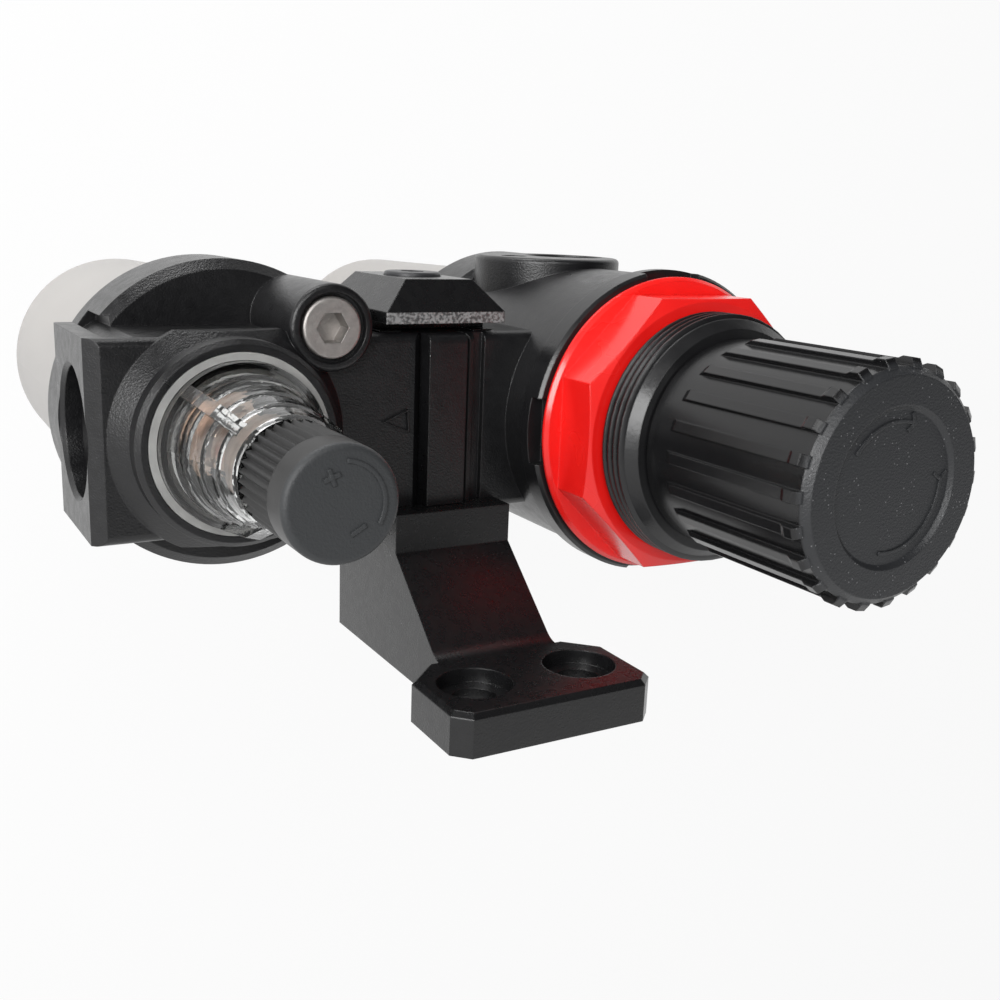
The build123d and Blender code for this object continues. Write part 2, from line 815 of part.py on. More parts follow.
def lubricator_body():
    """Die-cast body of the lubricator: port block, bowl ring, dome collar and fill boss."""
    body = port_block(lubricator_joint_x, outlet_face_x, joint_chamfer, end_chamfer)
    ring = turned(
        (0, lubricator_ring_bottom),
        (lubricator_ring_r - ring_edge, lubricator_ring_bottom),
        (lubricator_ring_r, lubricator_ring_bottom + ring_edge),
        (lubricator_ring_r, lubricator_ring_top - ring_chamfer),
        (lubricator_ring_r - ring_chamfer, lubricator_ring_top),
        (0, lubricator_ring_top),
    )
    body += Pos(bowl_x, 0, 0) * ring
    collar = turned(
        (0, block_front - edge_round),
        (collar_base_r, block_front - edge_round),
        (collar_base_r, block_front),
        (collar_r, block_front + collar_flare),
        (collar_r, collar_top - collar_edge),
        (collar_r - collar_edge, collar_top),
        (0, collar_top),
    )
    reach = collar_base_r
    collar &= span(-reach, reach, -collar_half_height, collar_half_height, 0, collar_top + 1)
    body += Pos(lubricator_x, 0, 0) * collar
    boss = rod(plug_boss_r, plug_boss_bottom, plug_boss_top, plug_x, plug_y)
    body += fillet(boss.edges().group_by(Axis.Z)[-1], edge_round / 2)
    plug_bottom = plug_top - plug_length
    seal_half = dome_seal_section / 2
    seal_floor = dome_pocket_floor - dome_seal_section
    fill_x = plug_x + fill_channel_shift / 2
    fill_y = plug_y + fill_channel_shift
    seal_groove = tube(dome_seal_r + seal_half, dome_seal_r - seal_half, seal_floor, dome_pocket_floor + 1)
    seal_groove -= rod(dome_pocket_r, seal_floor - 2, seal_floor)
    bowl_neck_hole = rod(bowl_neck_r + seat_gap, lubricator_ring_bottom - 1, lubricator_socket_top)
    body -= [
        rod(dome_pocket_r, dome_pocket_floor, collar_top + 1, lubricator_x),
        Pos(lubricator_x, 0, 0) * seal_groove,
        rod(nozzle_r + seat_gap, 0, dome_pocket_floor + 1, lubricator_x),
        rod(plug_r + seat_gap, plug_bottom - seat_gap, plug_boss_top + 1, plug_x, plug_y),
        rod(plug_recess_r, plug_boss_top - plug_recess_depth, plug_boss_top + 1, plug_x, plug_y),
        rod(fill_channel_r, lubricator_socket_top - 1, plug_bottom, fill_x, fill_y),
        Pos(bowl_x, 0, 0) * bowl_neck_hole,
        rod(tube_r + seat_gap, lubricator_socket_top - 1, siphon_top, lubricator_x, siphon_y),
        rod(siphon_channel_r, siphon_top - 1, dome_pocket_floor + 1, lubricator_x, siphon_y),
        side_port(outlet_face_x, -1),
        rod_x(passage_r, lubricator_joint_x - 1, outlet_face_x - port_depth),
        rod_x(transfer_r, lubricator_joint_x - 1, lubricator_joint_x + transfer_depth),
        joint_seal_groove(lubricator_joint_x, 1),
    ]
    body -= clamp_pockets(lubricator_joint_x, 1)
    body -= clamp_pockets(outlet_face_x, -1)
    return body


def sight_dome():
    """Clear sight dome: flange, cone of stepped rings, three ribs, and the neck that guides the needle."""
    bottom = dome_pocket_floor + seat_gap
    ring_height = (dome_top - dome_cone_z) / dome_rings
    steps = []
    radius = dome_cone_r
    for i in range(dome_rings):
        low = dome_cone_z + i * ring_height
        steps.append((radius, low))
        radius = max(radius - dome_ring_step / 2, dome_top_r)
        steps.append((radius, low + ring_height - dome_ring_step))
        radius = max(radius - dome_ring_step / 2, dome_top_r)
    dome = turned(
        (dome_r - dome_wall, bottom),
        (dome_flange_r, bottom),
        (dome_flange_r, dome_flange_top),
        (dome_r, dome_flange_top),
        (dome_r, collar_top + dome_wall),
        *steps,
        (dome_top_r, dome_top),
        (dome_neck_r, dome_top),
        (dome_neck_r, neck_top),
        (needle_r + running_gap, neck_top),
        (needle_r + running_gap, dome_ceiling),
        (dome_top_r - dome_wall, dome_ceiling),
        (dome_cone_r - dome_wall, dome_cone_z),
        (dome_r - dome_wall, collar_top),
    )
    rib_outline = Polyline(
        (dome_cone_r - dome_wall / 2, collar_top + dome_wall),
        (dome_r, collar_top + dome_wall),
        (dome_cone_r, dome_cone_z + 2 * ring_height),
        (dome_top_r, dome_top - dome_wall),
        (dome_top_r - dome_wall / 2, dome_top - dome_wall),
        close=True,
    )
    rib = extrude(Plane.XZ * make_face(rib_outline), dome_rib_width / 2, both=True)
    return Pos(lubricator_x, 0, 0) * (dome + around(dome_rib_count, Rot(0, 0, 75) * rib))


def dome_ring():
    """Pale retaining ring that holds the dome in its collar."""
    return Pos(lubricator_x, 0, 0) * tube(
        dome_pocket_r - seat_gap, dome_ring_bore_r, dome_flange_top + seat_gap, collar_top
    )


def dome_seal():
    """Rubber ring under the dome's flange."""
    z = dome_pocket_floor - dome_seal_section / 2
    return Pos(lubricator_x, 0, 0) * seal_ring(dome_seal_r, dome_seal_section, z)


def drip_tube():
    """Brass drip tube that hangs from the dome's ceiling round the needle."""
    top = dome_ceiling - seat_gap
    bottom = top - drip_tube_length
    return Pos(lubricator_x, 0, 0) * turned(
        (needle_r + running_gap, bottom),
        (drip_tube_r / 2, bottom),
        (drip_tube_r, bottom + drip_tube_r / 2),
        (drip_tube_r, top),
        (needle_r + running_gap, top),
    )


def drip_nozzle():
    """Brass nozzle in the body that takes the oil drops down to the air stream."""
    seat = dome_pocket_floor + seat_gap
    return Pos(lubricator_x, 0, 0) * turned(
        (nozzle_bore_r, seat - nozzle_length / 2),
        (nozzle_r, seat - nozzle_length / 2),
        (nozzle_r, seat),
        (nozzle_flange_r, seat),
        (nozzle_flange_r, seat + nozzle_bore_r),
        (nozzle_r, seat + nozzle_bore_r),
        (nozzle_r, seat + nozzle_length),
        (nozzle_r - nozzle_bore_r / 2, seat + nozzle_length),
        (nozzle_bore_r, seat + nozzle_length - nozzle_bore_r),
    )


def drip_needle():
    """Steel needle that sets the drip rate."""
    return Pos(lubricator_x, 0, 0) * turned(
        (0, needle_tip_z),
        (needle_r / 4, needle_tip_z),
        (needle_r, needle_tip_z + needle_tip_length),
        (needle_r, drip_knob_top - drip_knob_wall),
        (0, drip_knob_top - drip_knob_wall),
    )


def drip_knob():
    """Fine-fluted drip knob with a smooth rounded end."""
    points = []
    for i in range(drip_knob_flutes):
        radius = drip_knob_r - drip_knob_flute_depth
        points.append(Vector(drip_knob_r, 0).rotate(Axis.Z, 360 * i / drip_knob_flutes))
        points.append(Vector(radius, 0).rotate(Axis.Z, 360 * (i + 0.5) / drip_knob_flutes))
    outline = Plane.XY.offset(drip_knob_bottom) * make_face(Polyline(*points, close=True))
    grip = extrude(outline, drip_knob_grip_top - drip_knob_bottom)
    cap = rod(drip_knob_r, drip_knob_grip_top, drip_knob_top)
    cap = fillet(cap.edges().group_by(Axis.Z)[-1], drip_knob_edge)
    knob = grip + cap - rod(dome_neck_r + loose_gap, drip_knob_bottom - 1, neck_top + loose_gap)
    knob -= rod(needle_r + running_gap, neck_top, drip_knob_top - drip_knob_wall + seat_gap)
    return Pos(lubricator_x, 0, 0) * knob


def fill_plug():
    """Oil fill plug with a hexagon socket."""
    plug = rod(plug_r, plug_top - plug_length, plug_top)
    plug = fillet(plug.edges().group_by(Axis.Z)[-1], edge_round / 3)
    socket = prism(plug_socket_flats, plug_top - plug_socket_depth, plug_top + 1)
    return Pos(plug_x, plug_y, 0) * (plug - socket)


def lubricator_bowl():
    """Oil bowl, closed at its foot."""
    return bowl_shell(bowl_x, lubricator_ring_bottom)


def siphon_tube():
    """Clear tube that lifts the oil from the pick-up to the body."""
    bottom = ball_chamber_top + seat_gap
    return Pos(lubricator_x, siphon_y, 0) * tube(tube_r, tube_bore_r, bottom, siphon_top - seat_gap)


def oil_pick_up():
    """Pick-up at the tube's foot: inlet hole, ball chamber and tube socket."""
    body = rod(pick_up_r, pick_up_bottom, pick_up_bottom + pick_up_length)
    body = chamfer(body.edges().group_by(Axis.Z)[0], pick_up_cover / 2)
    body -= rod(pick_up_inlet_r, pick_up_bottom - 1, ball_chamber_floor + 1)
    body -= rod(ball_r + loose_gap, ball_chamber_floor, ball_chamber_top)
    body -= rod(tube_r + seat_gap, ball_chamber_top, pick_up_bottom + pick_up_length + 1)
    return Pos(lubricator_x, siphon_y, 0) * body


def check_ball():
    """Steel ball that keeps the oil from running back."""
    rest = (ball_r**2 - pick_up_inlet_r**2) ** 0.5 + seat_gap
    return Pos(lubricator_x, siphon_y, ball_chamber_floor + rest) * Sphere(ball_r)


def flow_flap():
    """Slotted disc in the air passage that makes the pressure drop for the oil."""
    disc = rod_x(passage_r - seat_gap, bowl_x - flap_thickness / 2, bowl_x + flap_thickness / 2)
    disc -= rod_x(flap_orifice_r, bowl_x - 1, bowl_x + 1)
    slot_r = (passage_r + flap_orifice_r) / 2
    slot = Pos(bowl_x, slot_r, 0) * Box(flap_thickness * 2, flap_orifice_r * 2 / 3, flap_thickness / 2)
    return disc - [Rot(360 * i / flap_slots, 0, 0) * slot for i in range(flap_slots)]


def joint_spacer():
    """Spacer between the modules, with an air slot on each side of the clamp screw."""
    low_x = regulator_joint_x + seat_gap
    high_x = lubricator_joint_x - seat_gap
    plate = span(low_x, high_x, -block_half_height, block_half_height, block_back, block_front)
    plate += span(low_x, high_x, -block_half_height, bracket_lip_top - seat_gap, 0, spacer_front)
    plate = fillet(plate.edges().filter_by(Axis.X).group_by(Axis.Z)[-1].sort_by(Axis.Y)[0], edge_round)
    plate -= rod_y(clamp_screw_r + loose_gap / 2, -block_half_height - 1, block_half_height + 1, joint_x)
    slot = SlotOverall(spacer_slot_length, spacer_slot_width)
    for z in (-spacer_slot_z, spacer_slot_z):
        plate -= extrude(Pos(joint_x, 0, z) * Plane.YZ * slot, spacer_width, both=True)
    return plate


def joint_seals():
    """The rubber rings in the two modules' faces, one on each side of the spacer."""
    ring = Rot(0, 90, 0) * Torus(joint_seal_r, joint_seal_section / 2 - seat_gap / 2)
    half = joint_seal_section / 2
    places = (regulator_joint_x - half, lubricator_joint_x + half)
    return Compound([Pos(x, 0, 0) * ring for x in places])


def front_clamp():
    """Front clamp: ledge, four-sided hump with the screw hole, and two wedges."""
    seat = block_half_height + seat_gap
    left = joint_x - clamp_half_width
    right = joint_x + clamp_half_width
    clamp = span(left, right, -clamp_ledge_low, -seat, block_back, clamp_base_front)
    clamp += span(left, right, -clamp_ledge_high, -clamp_ledge_low, -clamp_half_length, clamp_half_length)
    base = Plane((joint_x, -clamp_ledge_high, 0), x_dir=(1, 0, 0), z_dir=(0, -1, 0))
    foot = base * Rectangle(2 * clamp_half_width, 2 * clamp_half_length)
    top = base.offset(clamp_face - clamp_ledge_high)
    face = top * Rectangle(2 * clamp_face_half_width, 2 * clamp_face_half_length)
    clamp += loft([foot, face])
    clamp += clamp_wedges(-1)
    head_seat = clamp_face - clamp_screw_head + clamp_screw_proud
    clamp -= rod_y(clamp_screw_head_r + loose_gap / 2, -clamp_face - 1, -head_seat + seat_gap, joint_x)
    return clamp - rod_y(clamp_screw_r + loose_gap / 2, -clamp_face, -block_half_height, joint_x)


def clamp_screw():
    """Socket screw that pulls the front clamp and the bracket together through the spacer."""
    head_low = -(clamp_face + clamp_screw_proud)
    head_high = head_low + clamp_screw_head
    head = rod_y(clamp_screw_head_r, head_low, head_high, joint_x)
    head = fillet(head.edges().group_by(Axis.Y)[0], edge_round / 3)
    socket = prism(clamp_screw_socket_flats, -clamp_screw_socket_depth, 1)
    screw = head + rod_y(clamp_screw_r, head_high, clamp_screw_end, joint_x)
    return screw - Pos(joint_x, head_low, 0) * Rot(90, 0, 0) * socket


def wall_bracket():
    """Rear clamp, arm and two-hole foot in one casting."""
    seat = block_half_height + seat_gap
    lip_back = block_front + seat_gap
    arm_run = foot_top_y - bracket_low
    ramp_foot = bracket_front + arm_run * bracket_slope
    arm_front = foot_front - foot_bevel
    side = Polyline(
        (seat, block_back),
        (seat, lip_back),
        (bracket_lip_top, lip_back),
        (bracket_lip_top, bracket_front),
        (bracket_low, bracket_front),
        (foot_top_y, ramp_foot),
        (foot_top_y, arm_front),
        (wall_y, arm_front),
        (wall_y, bracket_back),
        (bracket_low, bracket_back),
        (bracket_low, block_back),
        close=True,
    )
    left = joint_x - bracket_half_width
    bracket = extrude(Plane.YZ.offset(left) * make_face(side), 2 * bracket_half_width)
    ramp_edge = [e for e in bracket.edges().filter_by(Axis.X) if abs(e.center().Z - ramp_foot) < 0.01]
    bracket = fillet(ramp_edge, foot_fillet)
    foot_rear = 2 * foot_hole_z - foot_front
    foot_left = joint_x - foot_half_width
    foot_right = joint_x + foot_half_width
    foot = span(foot_left, foot_right, foot_top_y, wall_y, foot_rear, foot_front)
    corners = foot.edges().filter_by(Axis.Y).group_by(Axis.Z)
    foot = chamfer(corners[0], foot_rear_chamfer)
    foot = chamfer(foot.edges().filter_by(Axis.Y).group_by(Axis.Z)[-1], foot_front_chamfer)
    foot = chamfer(foot.edges().group_by(Axis.Y)[0], foot_bevel)
    bracket += foot
    bracket += clamp_wedges(1)
    counterbore_floor = foot_top_y + foot_counterbore_depth
    for x in (joint_x - foot_hole_spacing / 2, joint_x + foot_hole_spacing / 2):
        bracket -= rod_y(foot_hole_r, foot_top_y - 1, wall_y + 1, x, foot_hole_z)
        bracket -= rod_y(foot_counterbore_r, foot_top_y - 1, counterbore_floor, x, foot_hole_z)
    return bracket - rod_y(clamp_screw_r + seat_gap, block_half_height, clamp_screw_end + seat_gap, joint_x)


pieces = {
    "regulator_body": regulator_body(),
    "bonnet": bonnet(),
    "bonnet_nut": bonnet_nut(),
    "regulator_knob": regulator_knob(),
    "adjusting_screw": adjusting_screw(),
    "spring_seat": spring_seat(),
    "regulating_spring": regulating_spring(),
    "control_piston": control_piston(),
    "piston_seal": piston_seal(),
    "valve_poppet": valve_poppet(),
    "poppet_seal": poppet_seal(),
    "valve_spring": valve_spring(),
    "valve_guide": valve_guide(),
    "deflector": deflector(),
    "filter_element": filter_element(),
    "filter_baffle": filter_baffle(),
    "filter_bowl": filter_bowl(),
    "filter_bowl_seal": bowl_seal(0, filter_socket_top),
    "drain_stem": drain_stem(),
    "drain_seal": drain_seal(),
    "drain_knob": drain_knob(),
    "lubricator_body": lubricator_body(),
    "sight_dome": sight_dome(),
    "dome_ring": dome_ring(),
    "dome_seal": dome_seal(),
    "drip_tube": drip_tube(),
    "drip_nozzle": drip_nozzle(),
    "drip_needle": drip_needle(),
    "drip_knob": drip_knob(),
    "fill_plug": fill_plug(),
    "lubricator_bowl": lubricator_bowl(),
    "lubricator_bowl_seal": bowl_seal(bowl_x, lubricator_socket_top),
    "siphon_tube": siphon_tube(),
    "oil_pick_up": oil_pick_up(),
    "check_ball": check_ball(),
    "flow_flap": flow_flap(),
    "joint_spacer": joint_spacer(),
    "joint_seals": joint_seals(),
    "front_clamp": front_clamp(),
    "clamp_screw": clamp_screw(),
    "wall_bracket": wall_bracket(),
}

os.makedirs("parts", exist_ok=True)
for name, piece in pieces.items():
    export_step(to_mount * piece, f"parts/{name}.step")
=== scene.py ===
# %% [markdown]
# # A filter regulator lubricator unit
#
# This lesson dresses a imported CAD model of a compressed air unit. The shapes that carry the air come
# from the CAD frame and are never moved here. We add the camera, the light, the finishes, and the
# small details that a CAD model leaves out, such as screw threads and moulded marks. Blender works
# in metres, so sizes in millimetres are multiplied by mm.

import json
from math import cos, radians, sin, tau

import bmesh
import bpy
from mathutils import Matrix, Vector


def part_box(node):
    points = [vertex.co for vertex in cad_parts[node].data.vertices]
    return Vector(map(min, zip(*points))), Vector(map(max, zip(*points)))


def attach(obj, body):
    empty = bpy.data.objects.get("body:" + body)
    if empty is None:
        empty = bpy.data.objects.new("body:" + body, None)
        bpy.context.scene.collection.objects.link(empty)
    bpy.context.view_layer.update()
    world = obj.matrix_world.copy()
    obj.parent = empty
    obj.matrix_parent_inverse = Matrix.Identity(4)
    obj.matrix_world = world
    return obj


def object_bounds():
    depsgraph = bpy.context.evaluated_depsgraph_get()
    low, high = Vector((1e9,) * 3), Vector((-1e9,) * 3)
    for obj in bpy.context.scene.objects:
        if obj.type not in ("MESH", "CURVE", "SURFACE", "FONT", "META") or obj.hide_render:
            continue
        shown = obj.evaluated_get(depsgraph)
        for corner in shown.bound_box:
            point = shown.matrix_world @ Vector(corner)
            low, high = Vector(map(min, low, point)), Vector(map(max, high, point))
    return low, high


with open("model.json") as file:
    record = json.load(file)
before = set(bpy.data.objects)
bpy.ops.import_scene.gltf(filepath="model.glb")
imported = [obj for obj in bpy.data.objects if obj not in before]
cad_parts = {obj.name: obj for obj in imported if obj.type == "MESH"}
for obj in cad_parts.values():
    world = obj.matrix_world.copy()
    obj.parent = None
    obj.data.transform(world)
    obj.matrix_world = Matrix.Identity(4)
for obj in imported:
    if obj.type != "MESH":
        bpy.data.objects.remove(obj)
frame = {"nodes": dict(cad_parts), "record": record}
cad_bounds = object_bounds()
mm = 0.001
print("CAD nodes:", len(frame["nodes"]))

# %% [markdown]
# ## The camera
#
# The unit is seen from in front of the knobs, with the wall side of its bracket facing down. A
# camera's matrix has the picture's right, up and backward directions as its columns. We write those
# three directions down, because an angle for each axis would say the same thing less clearly.

# %% Place the camera
picture_right = Vector((-0.86685863, -0.03754374, 0.4971384))
picture_up = Vector((-0.08813404, -0.96991579, -0.22692678))
towards_camera = Vector((0.49070206, -0.24052825, 0.83747099))
camera_point = Vector((57.20, -48.44, 90.82)) * mm

camera_data = bpy.data.cameras.new("camera")
camera_data.lens = 41.73
camera_data.sensor_width = 36
camera_data.clip_start = 1 * mm
camera = bpy.data.objects.new("camera", camera_data)
bpy.context.collection.objects.link(camera)
turn = Matrix((picture_right, picture_up, towards_camera)).transposed()
camera.matrix_world = Matrix.Translation(camera_point) @ turn.to_4x4()
bpy.context.scene.camera = camera
print("camera at", [round(c, 4) for c in camera_point])

# %% [markdown]
# ## Arithmetic on sockets
#
# A finish is easier to read as a sum than as a web of nodes. This small class holds one socket.
# Adding two of them makes a Math node and gives back its result, and the reflected forms let a plain
# number stand on the left.


# %% Wrap a socket so that it can be added and multiplied
class Field:
    """A number that changes over a surface."""

    def __init__(self, board, socket):
        self.board = board
        self.socket = socket

    def maths(self, operation, *values):
        node = self.board.node("ShaderNodeMath", dict(enumerate(values)), operation=operation)
        return Field(self.board, node.outputs[0])

    def __add__(self, other):
        return self.maths("ADD", self, other)

    def __radd__(self, other):
        return self.maths("ADD", other, self)

    def __sub__(self, other):
        return self.maths("SUBTRACT", self, other)

    def __rsub__(self, other):
        return self.maths("SUBTRACT", other, self)

    def __mul__(self, other):
        return self.maths("MULTIPLY", self, other)

    def __rmul__(self, other):
        return self.maths("MULTIPLY", other, self)

    def __gt__(self, other):
        return self.maths("GREATER_THAN", self, other)

    def __lt__(self, other):
        return self.maths("LESS_THAN", self, other)


# %% [markdown]
# ## A board for nodes
#
# The world and every finish are webs of nodes, so both use the same board. One method makes any node:
# its settings come first, because some of them change its sockets, then the values or links of its
# sockets.


# %% Define the board
class Board:
    """A node tree with one way to add a node to it."""

    def __init__(self, tree):
        self.tree = tree

    def set(self, socket, value):
        value = value.socket if isinstance(value, Field) else value
        if isinstance(value, bpy.types.NodeSocket):
            self.tree.links.new(value, socket)
        else:
            socket.default_value = value

    def node(self, kind, inputs=None, **settings):
        node = self.tree.nodes.new(kind)
        for setting, value in settings.items():
            setattr(node, setting, value)
        for socket, value in (inputs or {}).items():
            self.set(node.inputs[socket], value)
        return node

    def ramp(self, value, low, high, to_low=0.0, to_high=1.0):
        """Smooth step from to_low to to_high while the value goes from low to high."""
        limits = {"From Min": low, "From Max": high, "To Min": to_low, "To Max": to_high}
        sockets = {"Value": value, **limits}
        node = self.node("ShaderNodeMapRange", sockets, interpolation_type="SMOOTHSTEP")
        return Field(self, node.outputs["Result"])

    def backdrop_rays(self):
        """1 for the rays that should meet the white backdrop: camera, glossy and transmission."""
        rays = self.node("ShaderNodeLightPath").outputs
        kinds = [Field(self, rays[f"Is {kind} Ray"]) for kind in ("Camera", "Glossy", "Transmission")]
        return kinds


# %% [markdown]
# ## Making a finish
#
# Every finish starts from the Principled shader and reads Object coordinates, so its pattern stays
# fixed to the piece. Cast and moulded edges are never quite sharp, and a thin bright line shows along
# them. The Bevel node bends the shading near an edge to make that line, without changing the mesh.


# %% Define a finish and its patterns
class Finish(Board):
    """A material with short names for the patterns that this unit needs."""

    def __init__(self, name, colour, roughness, **fixed):
        self.name = name
        self.material = bpy.data.materials.new(name)
        self.material.use_nodes = True
        self.material.diffuse_color = (*colour, 1)
        super().__init__(self.material.node_tree)
        self.shader = self.tree.nodes["Principled BSDF"]
        self.feed("Base Color", (*colour, 1))
        self.feed("Roughness", roughness)
        for socket, value in fixed.items():
            self.feed(socket.replace("_", " "), value)
        self.place = self.node("ShaderNodeTexCoord").outputs["Object"]

    def feed(self, socket, value):
        self.set(self.shader.inputs[socket], value)

    def noise(self, size, detail=2.0):
        """Soft cloudy pattern whose blobs are about size across."""
        sockets = {"Vector": self.place, "Scale": 1 / size, "Detail": detail}
        return Field(self, self.node("ShaderNodeTexNoise", sockets).outputs["Fac"])

    def grains(self, size):
        """Distance to the nearest of many scattered points, for grains and specks."""
        sockets = {"Vector": self.place, "Scale": 1 / size}
        return Field(self, self.node("ShaderNodeTexVoronoi", sockets).outputs["Distance"])

    def axis(self, letter):
        """One Object coordinate, in metres."""
        return Field(self, self.node("ShaderNodeSeparateXYZ", {0: self.place}).outputs[letter])

    def reach(self, centre, scale=(1, 1, 1)):
        """Distance from a point, or from an axis where one scale is zero."""
        moved = self.vector("SUBTRACT", self.place, centre)
        flat = self.vector("MULTIPLY", moved.outputs[0], scale)
        return Field(self, self.vector("LENGTH", flat.outputs[0]).outputs["Value"])

    def vector(self, operation, *values):
        return self.node("ShaderNodeVectorMath", dict(enumerate(values)), operation=operation)

    def blend(self, factor, first, second):
        """Colour that goes from first to second."""
        sockets = {0: factor, 6: (*first, 1), 7: (*second, 1)}
        return self.node("ShaderNodeMix", sockets, data_type="RGBA").outputs[2]

    def bump(self, height, depth, edge=0.0):
        """Raises the surface by height times depth in metres, and softens edges by a radius."""
        sockets = {"Height": height, "Distance": depth, "Strength": 1.0}
        if edge:
            soft = self.node("ShaderNodeBevel", {"Radius": edge}, samples=4)
            sockets["Normal"] = soft.outputs["Normal"]
        self.feed("Normal", self.node("ShaderNodeBump", sockets).outputs["Normal"])


# %% [markdown]
# ## The stage
#
# The unit hangs from its bracket, so the floor lies well below the bowls. The floor is mostly its own
# white for the camera and for reflections, and partly a plain painted surface, which keeps a faint
# shadow.

# %% Lay the floor
floor_drop = 60 * mm
floor_reach = 3.0
floor_whiteness = 0.88
floor_mesh = bpy.data.meshes.new("floor")
sheet = bmesh.new()
bmesh.ops.create_circle(sheet, cap_ends=True, segments=64, radius=floor_reach)
floor_z = cad_bounds[0][2] - floor_drop
bmesh.ops.translate(sheet, verts=sheet.verts, vec=(0, 0, floor_z))
sheet.to_mesh(floor_mesh)
sheet.free()
floor = bpy.data.objects.new("floor", floor_mesh)
bpy.context.collection.objects.link(floor)

pale = Finish("pale_floor", (0.9, 0.9, 0.9), 0.9)
camera_ray, glossy_ray, transmission_ray = pale.backdrop_rays()
seen = camera_ray + glossy_ray + transmission_ray
glow = pale.node("ShaderNodeEmission", {"Color": (1, 1, 1, 1), "Strength": 1.0}).outputs[0]
share = {0: seen * floor_whiteness, 1: pale.shader.outputs[0], 2: glow}
mixed = pale.node("ShaderNodeMixShader", share)
pale.set(pale.tree.nodes["Material Output"].inputs["Surface"], mixed.outputs[0])
floor_mesh.materials.append(pale.material)
print("floor at", round(floor_z, 4))

# %% [markdown]
# ## The light
#
# Black paint shows its shape only through what it reflects. The world is a white studio with one dark
# side, above the camera: the camera and clear plastic see white everywhere, while reflections fade
# towards that side. A glossy black face that looks there stays deep black, and lamps placed away from
# it light the grain and draw thin highlights along the edges.

# %% Light the world
world = bpy.data.worlds.new("studio")
world.use_nodes = True
bpy.context.scene.world = world
bpy.context.scene.view_settings.view_transform = "Standard"
studio = Board(world.node_tree)
direction = studio.node("ShaderNodeTexCoord").outputs["Generated"]
dark_side = Vector((-0.3, -0.8, 0.5)).normalized()
sockets = {0: direction, 1: dark_side}
towards_dark = studio.node("ShaderNodeVectorMath", sockets, operation="DOT_PRODUCT")
nearness = Field(studio, towards_dark.outputs["Value"])
fade_start = 0.1
fade_end = 0.6
dark_level = 0.03
wall = studio.ramp(nearness, fade_start, fade_end, 1.0, dark_level)
camera_ray, glossy_ray, transmission_ray = studio.backdrop_rays()
soft_level = 0.35
seen = camera_ray + transmission_ray
strength = seen + (1 - seen) * (glossy_ray * wall + (1 - glossy_ray) * soft_level)
backdrop = world.node_tree.nodes["Background"]
studio.set(backdrop.inputs["Color"], (1, 1, 1, 1))
studio.set(backdrop.inputs["Strength"], strength)
print("world nodes:", len(world.node_tree.nodes))

# %% Hang the lamps
aim = Vector((0, -0.02, -0.02))


def lamp(name, direction, distance, size, power):
    """A square lamp that looks at the unit from a direction."""
    data = bpy.data.lights.new(name, "AREA")
    data.size = size
    data.energy = power
    lamp_object = bpy.data.objects.new(name, data)
    away = Vector(direction).normalized()
    facing = away.to_track_quat("Z", "Y").to_matrix().to_4x4()
    lamp_object.matrix_world = Matrix.Translation(aim + away * distance) @ facing
    bpy.context.collection.objects.link(lamp_object)
    print(name, power, "W")


lamp("key", (0.75, -0.3, 0.6), 0.6, 0.3, 3.0)
lamp("fill", (0.25, -0.55, 0.8), 0.7, 0.3, 1.3)
lamp("rim", (0.2, -0.9, -0.25), 0.5, 0.3, 1.8)

# %% [markdown]
# ## Painted castings
#
# The bodies are die-cast metal under black paint, which dries with a fine orange-peel skin. Two sizes
# of noise make that skin in the bump, and the roughness wanders a little with the larger one.


# %% Mix the paints
def paint(name, colour, roughness, peel, depth, edge=0.18 * mm):
    """Sprayed paint on a casting."""
    finish = Finish(name, colour, roughness)
    broad = finish.noise(peel * 8)
    skin = finish.noise(peel, 3.0)
    grit = finish.grains(peel * 1.7)
    finish.feed("Base Color", finish.blend(broad, colour, [c * 1.8 for c in colour]))
    finish.feed("Roughness", broad * 0.2 + (roughness - 0.1))
    finish.bump(skin + grit * 0.6, depth, edge)
    return finish


cast_body = paint("cast_body", (0.005, 0.005, 0.0055), 0.32, 0.15 * mm, 0.024 * mm)
clamp_black = paint("clamp_black", (0.005, 0.005, 0.0055), 0.28, 0.15 * mm, 0.015 * mm)
bonnet_black = paint("bonnet_black", (0.006, 0.006, 0.0065), 0.3, 0.4 * mm, 0.01 * mm)
black_oxide = paint("black_oxide", (0.02, 0.02, 0.022), 0.4, 0.3 * mm, 0.02 * mm)
print("paints:", cast_body.name, clamp_black.name, bonnet_black.name, black_oxide.name)

# %% [markdown]
# ## The clamp's ledge
#
# The clamp's narrow front ledge catches the light as a grey speckled strip, and that light is
# painted into its colour as a painted highlight. The clamp's own box says where the ledge is, and two
# smooth steps along Z and Y pick it out.

# %% Paint the ledge's highlight
clamp_low, clamp_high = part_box("front_clamp")
ledge_back = clamp_high[2] - 0.25 * mm
hump = 3.27 * mm
ledge_height = 1.22 * mm
ledge_top_y = clamp_low[1] + hump
on_front = clamp_black.ramp(clamp_black.axis("Z"), ledge_back, ledge_back + 0.15 * mm)
above = clamp_black.ramp(clamp_black.axis("Y"), ledge_top_y, ledge_top_y + 0.1 * mm)
below = clamp_black.ramp(
    clamp_black.axis("Y"), ledge_top_y + ledge_height, ledge_top_y + ledge_height + 0.1 * mm, 1.0, 0.0
)
fleck = clamp_black.ramp(clamp_black.noise(0.3 * mm, 3.0), 0.38, 0.62)
# Painted highlight: a grey speckled strip mixed into the ledge's colour.
ledge_highlight = on_front * above * below * (fleck * 0.75 + 0.25)
clamp_black.feed("Base Color", clamp_black.blend(ledge_highlight, (0.006, 0.006, 0.0065), (0.24, 0.24, 0.24)))
print("ledge from y", round(ledge_top_y, 5))

